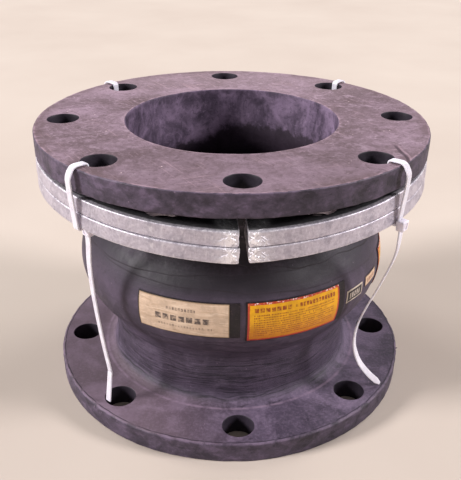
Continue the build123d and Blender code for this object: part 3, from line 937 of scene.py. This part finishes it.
def tie_head(shell, centre, azimuth):
    """The moulded lock of a cable tie: a rounded block with a window, a pawl in it and two side lips."""
    bm = bmesh.new()
    bmesh.ops.create_cube(bm, size=1.0)
    bmesh.ops.scale(bm, vec=Vector((5.8, 7.4, 7.0)), verts=bm.verts)
    for v in bm.verts:
        if v.co.z < 0:
            v.co.y *= 0.84
            v.co.x *= 0.9
    bmesh.ops.bevel(bm, geom=list(bm.edges), offset=0.9, segments=3, affect="EDGES", profile=0.5)
    window = [f for f in bm.faces if f.normal.x > 0.95 and f.calc_area() > 10]
    for thickness, depth in ((0.9, 0.0), (0.15, -0.9), (0.9, 0.0), (0.1, 0.55)):
        bmesh.ops.inset_region(bm, faces=window, thickness=thickness, depth=depth)
    turn = Matrix.Translation(Vector(polar_mm(*centre))) @ Matrix.Rotation(rad(azimuth), 4, "Z")
    points = np.array([tuple(turn @ v.co) for v in bm.verts])
    bm.verts.index_update()
    start = shell.count
    shell.points.append(points)
    shell.extra.append(np.zeros((len(points), 3)))
    for f in bm.faces:
        loop = [v.index for v in f.verts]
        for i in range(1, len(loop) - 1, 2):
            quad = [loop[0], loop[i], loop[i + 1], loop[i + 2] if i + 2 < len(loop) else loop[i + 1]]
            shell.faces.append(start + np.array([quad]))
    shell.count += len(points)
    bm.free()


def make_tie(name, azimuth, head, material):
    """A tie's loop round flange and rings, with its head."""
    shell = Shell()
    route = rounded_loop(LOOP)
    path = ring_point(route[:, 0], rad(azimuth), route[:, 1])
    middle = np.array(polar_mm(120.0, azimuth, 180.0))
    ahead = np.roll(path, -1, 0) - np.roll(path, 1, 0)
    face_way = np.cross(np.array(polar_mm(1.0, azimuth + 90.0, 0.0)), ahead)
    if (face_way * (path - middle)).sum() < 0:
        face_way = -face_way
    sweep(shell, path, face_way, *LOOP_STRAP, closed=True)
    tie_head(shell, (head[0], azimuth, head[1]), azimuth)
    piece = shell.build(name, [material], sharp=40.0, extra_name="strap")
    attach(piece, "upper_end")
    return piece


def spline(points, step=1.0):
    """Catmull-Rom through the points, resampled finely."""
    p = np.array([2 * points[0] - points[1]] + list(points) + [2 * points[-1] - points[-2]])
    out = []
    for i in range(1, len(p) - 2):
        count = max(2, int(np.linalg.norm(p[i + 1] - p[i]) / step))
        for t in np.linspace(0, 1, count, endpoint=False):
            out.append(0.5 * (2 * p[i] + (p[i + 1] - p[i - 1]) * t
                              + (2 * p[i - 1] - 5 * p[i] + 4 * p[i + 1] - p[i + 2]) * t * t
                              + (3 * p[i] - p[i - 1] - 3 * p[i + 1] + p[i + 2]) * t ** 3))
    out.append(p[-2])
    return np.array(out)


# each tail's middle line: radius, azimuth and height
TAILS = {
    "front_left": [(133.5, -135.6, 153.4), (133.5, -135.6, 147.0), (133.4, -136.3, 132.0),
                   (132.6, -136.5, 112.0), (131.2, -136.4, 90.0), (129.2, -136.0, 66.0),
                   (126.6, -135.8, 44.0), (126.4, -135.8, 41.5), (126.9, -135.7, 39.0),
                   (131.0, -135.4, 17.4)],
    "front_right": [(143.0, -44.2, 157.4), (143.0, -44.2, 150.0), (141.6, -43.4, 141.0),
                    (139.4, -43.0, 132.0), (136.0, -43.0, 121.0), (131.5, -43.6, 107.0), (126.2, -44.8, 91.0),
                    (121.8, -45.4, 74.5), (121.0, -45.2, 58.5), (124.0, -43.3, 43.0), (129.8, -40.3, 30.0),
                    (136.0, -36.2, 17.4)],
    "back_left": [(143.0, 135.4, 157.4), (143.0, 135.4, 150.0), (141.9, 136.7, 138.0), (139.4, 138.2, 123.0),
                  (136.2, 139.6, 104.0), (134.4, 140.6, 83.0), (134.8, 141.1, 61.0), (136.6, 141.2, 39.0),
                  (137.2, 140.6, 17.4)],
    "back_right": [(143.0, 44.6, 157.4), (143.0, 44.6, 150.0), (142.6, 43.8, 136.0), (141.2, 42.4, 120.0),
                   (138.4, 40.9, 102.0), (135.0, 39.7, 82.0), (132.8, 38.8, 61.0), (133.2, 38.2, 39.0),
                   (135.6, 37.4, 17.4)],
}
# each tie's azimuth, and the radius and height of its head
TIES = {"front_left": (-135.0, (133.5, 157.0)), "front_right": (-45.0, (144.3, 161.0)),
        "back_left": (135.0, (144.3, 161.0)), "back_right": (45.0, (144.3, 161.0))}
# share of a tail's length and the strap's turn there, in degrees
TWISTS = {
    "front_left": [(0.0, 0.0), (0.5, 8.0), (0.8, 4.0), (1.0, 0.0)],
    "front_right": [(0.0, 0.0), (0.15, -8.0), (0.45, -16.0), (0.7, -16.0), (0.82, -8.0), (0.9, 0.0),
                    (1.0, 4.0)],
    "back_left": [(0.0, 0.0), (0.5, 25.0), (1.0, 8.0)],
    "back_right": [(0.0, 0.0), (0.5, -20.0), (1.0, -6.0)],
}


def make_tail(name, route, material, pointed, twist):
    """A tie's cut tail."""
    shell = Shell()
    points = np.array([polar_mm(*p) for p in route])
    path = spline(points)
    angle = np.radians(np.interp(np.linspace(0, 1, len(path)), *zip(*twist)))[:, None]
    ahead = unit(np.gradient(path, axis=0))
    across = unit(np.cross(ahead, unit(path * (1.0, 1.0, 0.0))))
    face_way = np.cross(across, ahead) * np.cos(angle) + across * np.sin(angle)

    def taper(at, length):
        if not pointed:
            return 1.0
        return float(np.clip(0.45 + (length - at) / 9.0, 0.45, 1.0))

    sweep(shell, path, face_way, *TAIL_STRAP, taper=taper)
    piece = shell.build(name, [material], sharp=40.0, extra_name="strap")
    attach(piece, "upper_end")
    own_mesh(piece)
    return piece


white = nylon()
for name, (azimuth, head) in TIES.items():
    tie = make_tie(f"{name}_cable_tie", azimuth, head, white)
    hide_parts(f"{name}_tie")
    tail = make_tail(f"{name}_cut_tail", TAILS[name], white, name == "front_right", TWISTS[name])
    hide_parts(f"{name}_tail")


# ---------------------------------------------------------------- labels
def backing():
    """Black vinyl patch under a label: worn, with a satin shine and rubbed brown specks."""
    p = Paint("black_backing", Specular_IOR_Level=0.35)
    at = p.attribute("rest")
    cloud = p.noise(at, 9.0, 6.0, 0.65)
    fine = p.noise(at, 1.4, 5.0, 0.7)
    p.ramp(cloud, (0.36, srgb(20, 15, 19)), (0.64, srgb(37, 29, 34)))
    p.lay(fine.span(0.57, 0.68, 0.0, 0.55), 84, 68, 66)
    return p.finish(cloud.span(0.3, 0.7, 0.4, 0.58), p.bump(cloud + fine * 0.4, 0.3, 0.7))


def print_rows(p, u, v, rows, seed):
    """Rows of plain blocks that stand for print, with no letter forms.

    A row is (v, height, u from, u to, pitch, filled share, strength, whether it has word gaps).
    """
    total = 0.0
    for i, (level, height, lo, hi, pitch, fill, strength, words) in enumerate(rows):
        t = (u - lo) / pitch
        part = p.math("FRACT", t)
        mark = part.span(0.0, 0.12) * part.span(fill + 0.12, fill)
        mark *= abs(v - level).span(height * 0.5 + 0.12, height * 0.5 - 0.12)
        mark *= u.span(lo - 0.1, lo + 0.1) * u.span(hi + 0.1, hi - 0.1)
        if words:
            cell = p.math("FLOOR", t) * 0.37
            mark *= p.noise(p.join(cell, seed + 7.3 * i), 1.0, 1.0).span(0.38, 0.42)
        worn = p.noise(p.join(t * 1.7, seed + 3.1 * i, v * (1.5 / height)), 1.0, 2.0, 0.5)
        mark *= worn.span(0.36, 0.5, 0.35 * strength, strength)
        total = p.math("MAXIMUM", total, mark)
    return total


def shade(colour, share):
    """The colour made darker or paler by a share."""
    return tuple(min(1.0, c * share) for c in colour[:3]) + (1,)


def label_paint(name, ground, ink, size, rows, seed, edge, edge_width,
                gloss=0.35, tint=None, streaks=0.0, glint=False):
    """Printed vinyl: ground, border and rows of print, worn; u and v run along it in mm."""
    width, height = size
    p = Paint(name, Specular_IOR_Level=0.4, Coat_Weight=0.06, Coat_Roughness=0.25)
    at = p.attribute("rest")
    u, v, _ = p.split(p.attribute("art"))
    cloud = p.noise(at, 7.0, 6.0, 0.65, 0.3)
    p.colour = ground
    p.lay(cloud.span(0.38, 0.66), shade(ground, 0.78))
    if tint is not None:
        low = v + (p.noise(at, 12.0, 4.0) - 0.5) * 10.0
        p.lay(low.span(height * 0.66, height * -0.05) * 0.9, tint)
    if streaks:
        flow = v + p.noise(p.join(u * 0.07, 0.0, seed), 1.0, 2.0) * 7.0
        wood = p.noise(p.join(u * 0.05, flow * 0.6), 1.0, 6.0, 0.65, 0.5)
        p.lay(wood.span(0.53, 0.64, 0.0, streaks), 160, 132, 104)
        p.lay(wood.span(0.47, 0.36, 0.0, streaks), 236, 216, 194)
    across = p.math("MINIMUM", u, width - u)
    near = p.math("MINIMUM", across, p.math("MINIMUM", v, height - v))
    near += (p.noise(at, 5.0, 3.0) - 0.5) * (edge_width * 0.8)
    p.lay(near.span(edge_width + 0.25, edge_width - 0.25) * 0.9, edge)
    worn = p.noise(at, 3.0, 4.0).span(0.32, 0.5, 0.55, 1.0)
    p.lay(print_rows(p, u, v, rows, seed) * worn, ink)
    p.lay(p.noise(at, 2.0, 6.0, 0.7).span(0.6, 0.68) * 0.5, shade(ground, 1.25))
    if glint:
        # painted glints: pale specks along the top edge, as of light caught where the film lifts
        painted_glints = v.span(height - 1.6, height - 0.5) * p.noise(at, 1.8, 3.0, 0.7).span(0.54, 0.62)
        p.lay(painted_glints * 0.8, 250, 238, 232)
    relief = cloud * 0.7 + p.noise(at, 1.3, 3.0) * 0.2
    return p.finish(cloud.span(0.3, 0.7, gloss, gloss + 0.15), p.bump(relief, 0.35, 0.7))


# radius at which the labels' widths are measured
LABEL_R = 115.0


def make_label(name, az0, az1, z0, z1, lie, material, slot, node, seed):
    """A sheet that follows the arch, a gap away from it, with edges curled out a little."""
    gap, thick, curl = lie
    shell = Shell()
    cols = max(6, int(abs(rad(az1 - az0)) * 116 / 1.2))
    rows = max(6, int(z1 - z0))
    z = np.linspace(z0, z1, rows + 1)
    az = np.radians(np.linspace(az0, az1, cols + 1))
    zz, aa = np.meshgrid(z, az, indexing="ij")
    base = wall_radius("outer", zz)
    u = (aa - aa[0, 0]) * LABEL_R
    art = np.stack([u, zz - z0, 0 * zz], -1)
    edge = np.minimum(np.minimum(u, u.max() - u), np.minimum(zz - z0, z1 - zz))
    ripple = (0.05 + 0.05 * waves(ring_point(base, aa, zz).reshape(-1, 3), 14.0, seed)).reshape(zz.shape)
    ripple = np.clip(ripple, 0, 0.14) + curl * np.exp(-edge / 1.5)
    soft = 0.1 * np.exp(-edge / 0.5)
    outer = ring_point(base + gap + thick + ripple - soft, aa, zz)
    back = ring_point(base + gap, aa, zz)
    shell.grid(outer, extra=art)
    shell.grid(back, extra=art)
    for line in (np.s_[0, :], np.s_[-1, :], np.s_[:, 0], np.s_[:, -1]):
        shell.grid(np.array([outer[line], back[line]]), extra=np.array([art[line], art[line]]))
    piece = shell.build(name, [material], sharp=50.0, extra_name="art")
    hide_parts(node)
    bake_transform(piece)


def label_size(degrees, height):
    return rad(degrees) * LABEL_R, height


black = backing()
cream = label_paint(
    "cream_label", srgb(206, 180, 156), srgb(66, 56, 56), label_size(124.5 - 93.3, 25.6),
    [(19.4, 2.0, 20.5, 40.5, 2.1, 0.7, 0.75, True), (12.4, 4.4, 12.5, 50.8, 5.45, 0.76, 0.92, False),
     (6.4, 1.9, 12.5, 51.5, 2.0, 0.66, 0.5, True)],
    2.0, srgb(150, 126, 100), 0.5, streaks=0.4)
text_rows = [(24.4, 2.9, 4.2, 30.0, 3.7, 0.76, 0.95, False), (24.4, 1.5, 31.9, 33.3, 3.0, 0.6, 0.95, False),
             (24.4, 2.9, 35.2, 64.0, 2.4, 0.74, 0.95, False)]
text_rows += [(20.7 - 1.8 * i, 1.0, 4.0, 56.0 if i in (2, 6, 9) else 63.0, 1.05, 0.66, 0.9, True)
              for i in range(10)]
yellow = label_paint(
    "yellow_label", srgb(226, 164, 4), srgb(130, 40, 8), label_size(87.4 - 53.8, 29.4), text_rows, 5.0,
    srgb(170, 36, 40), 1.3, tint=srgb(192, 110, 2), gloss=0.3, glint=True)
size_paint = label_paint(
    "cream_size_label", srgb(208, 176, 146), srgb(120, 64, 50), label_size(9.6, 8.2),
    [(4.1, 3.2, 3.0, 16.5, 2.7, 0.7, 0.85, False)], 9.0, srgb(54, 46, 46), 0.7)
dark_paint = label_paint(
    "black_label", srgb(40, 33, 38), srgb(206, 192, 178), label_size(9.5, 9.6),
    [(4.8, 4.4, 3.2, 16.2, 2.6, 0.62, 0.85, False)], 12.0, srgb(212, 198, 180), 1.0)
# how a sheet lies: its gap to the arch, its thickness and the curl of its edges
PATCH, STUCK, SMALL = (0.0, 0.4, 0.0), (0.42, 0.28, 0.1), (0.0, 0.3, 0.0)
# each sheet: piece, azimuths, heights, how it lies, material, slot and CAD node
LABELS = [
    ("maker_label_patch", -125.0, -89.8, 86.3, 113.3, PATCH, black, "black_backing", "maker_label_backing"),
    ("maker_label_sheet", -124.5, -93.3, 87.0, 112.6, STUCK, cream, "cream_label", "maker_label"),
    ("warning_label_patch", -88.0, -50.6, 82.8, 113.8, PATCH, black, "black_backing",
     "warning_label_backing"),
    ("warning_label_sheet", -87.4, -53.8, 83.6, 113.0, STUCK, yellow, "yellow_label", "warning_label"),
    ("side_warning_patch", -22.6, 14.8, 82.8, 113.8, PATCH, black, "black_backing", "side_warning_backing"),
    ("side_warning_sheet", -22.0, 11.6, 83.6, 113.0, STUCK, yellow, "yellow_label", "side_warning_label"),
    ("material_label_sheet", -49.4, -39.9, 94.6, 104.2, SMALL, dark_paint, "black_label", "material_label"),
    ("size_label_sheet", -37.6, -28.0, 97.4, 105.6, SMALL, size_paint, "cream_label", "size_label"),
]
for seed, row in enumerate(LABELS, 2):
    make_label(*row, seed)


# ---------------------------------------------------------------- steel rings inside the wall
def bare_steel():
    """Drawn steel with a little rust, for the hidden rings that keep their CAD meshes."""
    p = Paint("body_ring_steel", Metallic=0.9, Specular_IOR_Level=0.5)
    at = p.object_mm()
    cloud = p.noise(at, 12.0, 5.0, 0.6)
    fine = p.noise(at, 1.0, 4.0)
    p.ramp(cloud, (0.35, srgb(88, 84, 84)), (0.65, srgb(124, 120, 118)))
    p.lay(fine.span(0.6, 0.75, 0.0, 0.4), 96, 66, 48)
    return p.finish(fine.span(0.3, 0.7, 0.35, 0.55), p.bump(fine, 0.1, 0.6))


steel = bare_steel()
for name in ("lower_neck_ring", "upper_neck_ring", "lower_arch_ring", "upper_arch_ring"):
    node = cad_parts[name]
    node.data.materials.clear()
    node.data.materials.append(steel)


# ---------------------------------------------------------------- floor, light and camera
FLOOR_HALF = 6.0


def make_floor():
    """A plain, pale, level floor."""
    p = Paint("floor", Specular_IOR_Level=0.2, Roughness=0.8)
    at = p.object_mm()
    p.ramp(p.noise(at, 300.0, 3.0), (0.3, srgb(190, 177, 166)), (0.7, srgb(197, 185, 174)))
    p.finish(None, p.bump(p.noise(at, 2.0, 3.0), 0.05, 0.3))
    mesh = bpy.data.meshes.new("floor")
    corners = [(x * FLOOR_HALF, y * FLOOR_HALF, 0) for x, y in ((-1, -1), (1, -1), (1, 1), (-1, 1))]
    mesh.from_pydata(corners, [], [(0, 1, 2, 3)])
    mesh.materials.append(p.material)
    floor = add_object("floor", mesh)


def sun(name, azimuth, elevation, strength, width, colour):
    """A broad soft light from one side of the studio; width is its angle in degrees."""
    data = bpy.data.lights.new(name, "SUN")
    data.energy = strength
    data.angle = rad(width)
    data.color = colour
    lamp = add_object(name, data)
    flat = math.cos(rad(elevation))
    way = Vector((flat * math.cos(rad(azimuth)), flat * math.sin(rad(azimuth)), math.sin(rad(elevation))))
    lamp.location = way * 1.5
    lamp.rotation_euler = (-way).to_track_quat("-Z", "Y").to_euler()


make_floor()
world = bpy.data.worlds.new("studio")
world.use_nodes = True
sky = world.node_tree.nodes["Background"].inputs
sky[0].default_value = (1.0, 0.97, 0.97, 1)
sky[1].default_value = 0.22
bpy.context.scene.world = world
sun("key", 192.0, 27.0, 3.9, 15.0, (1.0, 0.97, 0.98))
sun("fill", -12.0, 27.0, 2.95, 15.0, (1.0, 0.96, 0.99))
sun("back_left", 138.0, 47.0, 1.0, 22.0, (1.0, 0.98, 0.98))
sun("back_right", 42.0, 47.0, 1.0, 22.0, (1.0, 0.98, 0.98))

# camera: focal length and centre in pixels of the frame, and its place in mm. TURN is how far the object
# stands turned, so that its bolt holes lie on its own X and Y axes.
FRAME_W, FRAME_H = 461.0, 480.0
SENSOR = 24.0
FOCAL_PX = 678.73
CENTRE_PX = (230.5, 270.0)
TURN = 0.0270
YAW, PITCH, ROLL = 0.0274 + TURN, 0.5174, -0.0093
CAMERA_AT = (-13.05, -480.42, 346.38)
data = bpy.data.cameras.new("camera")
camera = add_object("camera", data)
forward = Vector((math.sin(YAW) * math.cos(PITCH), math.cos(YAW) * math.cos(PITCH), -math.sin(PITCH)))
right = Vector((math.cos(YAW), -math.sin(YAW), 0))
down = forward.cross(right)
level_right = right * math.cos(ROLL) + down * math.sin(ROLL)
level_down = -right * math.sin(ROLL) + down * math.cos(ROLL)
turn = Matrix((level_right, -level_down, -forward)).transposed()
spot = Matrix.Rotation(-TURN, 3, "Z") @ Vector(CAMERA_AT) * MM
camera.matrix_world = Matrix.Translation(spot) @ turn.to_4x4()
data.sensor_fit = "VERTICAL"
data.sensor_height = SENSOR
data.lens = FOCAL_PX * SENSOR / FRAME_H
data.shift_x = (FRAME_W / 2 - CENTRE_PX[0]) / FRAME_H
data.shift_y = (CENTRE_PX[1] - FRAME_H / 2) / FRAME_H
data.clip_start = 0.01
bpy.context.scene.camera = camera
bpy.context.scene.view_settings.view_transform = "Standard"

bpy.context.view_layer.update()
